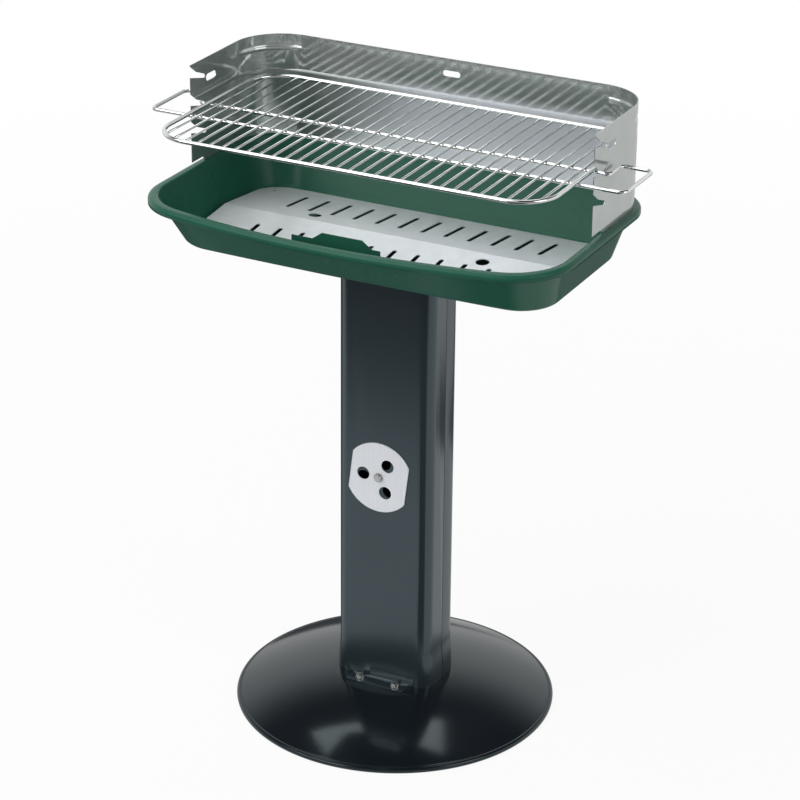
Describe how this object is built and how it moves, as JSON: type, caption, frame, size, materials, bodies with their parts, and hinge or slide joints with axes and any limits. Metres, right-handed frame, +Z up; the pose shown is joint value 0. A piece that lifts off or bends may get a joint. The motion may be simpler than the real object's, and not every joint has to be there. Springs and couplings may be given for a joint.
{
  "type": "pedestal charcoal barbecue",
  "caption": "Free-standing charcoal barbecue: round plinth, boxed column with turning air damper, enamelled fire pan, lift-off windshield and lift-out wire cooking grid.",
  "frame": {"origin": "on the ground under the middle of the overall size box, which is on the plinth's and column's axis", "axes": "+Z up, -Y towards the cook (the open side of the windshield), +X to the cook's right"},
  "size_m": [0.663, 0.43, 0.857],
  "materials": {
    "plinth_paint": "gloss black enamel",
    "column_paint": "gloss anthracite paint",
    "enamel": "gloss green enamel",
    "damper_steel": "satin",
    "plate_steel": "satin aluminised sheet",
    "bright_steel": "polished sheet",
    "chrome_wire": "bright plated wire",
    "zinc": "bright zinc"
  },
  "bodies": {
    "stand": {"base_plinth": "plinth_paint", "column_front_shell": "column_paint", "column_rear_shell": "column_paint", "foot_bolts": "zinc", "foot_washers": "zinc", "foot_nuts": "zinc", "pan_bolts": "zinc", "pan_washers": "zinc", "pan_nuts": "zinc", "fire_pan": "enamel", "damper_washer": "zinc", "damper_pivot": "zinc", "damper_nut": "zinc"},
    "damper": {"air_damper": "damper_steel"},
    "plate": {"charcoal_plate": "plate_steel", "plate_handle": "enamel", "handle_rivets": "zinc"},
    "shield": {"windshield": "bright_steel"},
    "grid": {"grid_frame": "chrome_wire", "grid_handle_loop": "chrome_wire", "grid_bars": "chrome_wire"}
  },
  "joints": [
    {"name": "damper_turn", "type": "hinge", "parent": "stand", "child": "damper", "pos_m": [-0.0045, -0.042, 0.3405], "axis": [0, -1, 0], "continuous": true},
    {"name": "plate_lift", "type": "slide", "parent": "stand", "child": "plate", "axis": [0, 0, 1], "range_m": [0, 0.05]},
    {"name": "shield_lift", "type": "slide", "parent": "stand", "child": "shield", "axis": [0, 0, 1], "range_m": [0, 0.15]},
    {"name": "grid_pull", "type": "slide", "parent": "shield", "child": "grid", "axis": [0, -0.9659, 0.2588], "range_m": [0, 0.2]}
  ]
}
